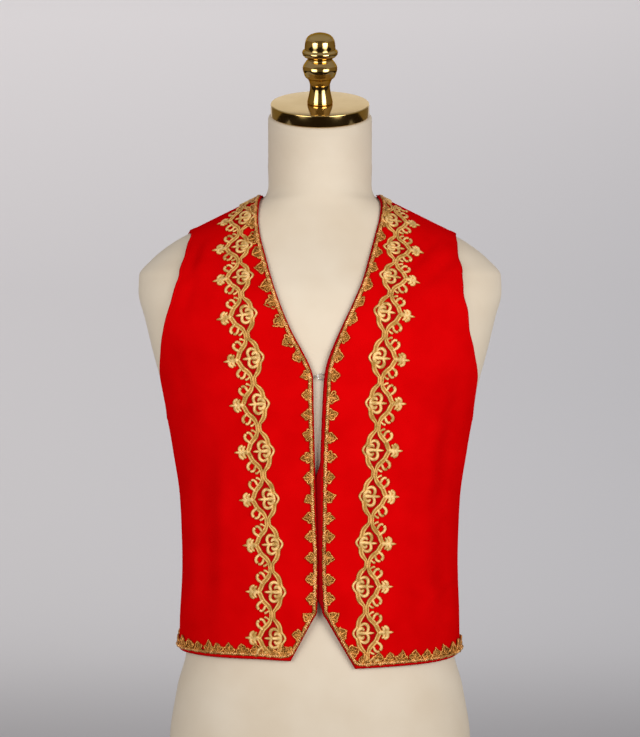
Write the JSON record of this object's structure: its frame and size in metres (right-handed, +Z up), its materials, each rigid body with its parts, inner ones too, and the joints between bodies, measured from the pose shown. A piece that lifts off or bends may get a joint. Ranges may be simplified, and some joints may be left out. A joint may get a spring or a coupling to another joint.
{
  "type": "waistcoat on a dress form",
  "caption": "Red sleeveless costume waistcoat with gold galloon and scalloped edging, cutaway front and hook closure, on a limbless dress form with a brass finial.",
  "frame": {"origin": "on the ground, under the middle of the form", "axes": "+Z up, the front of the waistcoat faces -Y, the wearer's left is at +X"},
  "size_m": [0.4062, 0.34, 1.0181],
  "materials": {
    "cloth": "smooth matte wool cloth, poppy red",
    "galloon_gold": "matte gold thread galloon",
    "edging_gold": "glinting gold gimp with leaf scallops",
    "wire": "plain steel wire",
    "form_cover": "cream stretched jersey",
    "cap_brass": "polished, slightly aged",
    "stand_paint": "satin dark grey"
  },
  "bodies": {
    "root": {"front_right": "cloth", "front_left": "cloth", "back": "cloth", "edging_front_right": "edging_gold", "edging_front_left": "edging_gold", "edging_back_neck": "edging_gold", "edging_back_hem": "edging_gold", "galloon_right": "galloon_gold", "galloon_left": "galloon_gold", "hook": "wire", "eye": "wire", "form_torso": "form_cover", "neck_cap": "cap_brass", "finial": "cap_brass", "stand_base": "stand_paint", "stand_post": "stand_paint"}
  },
  "joints": []
}
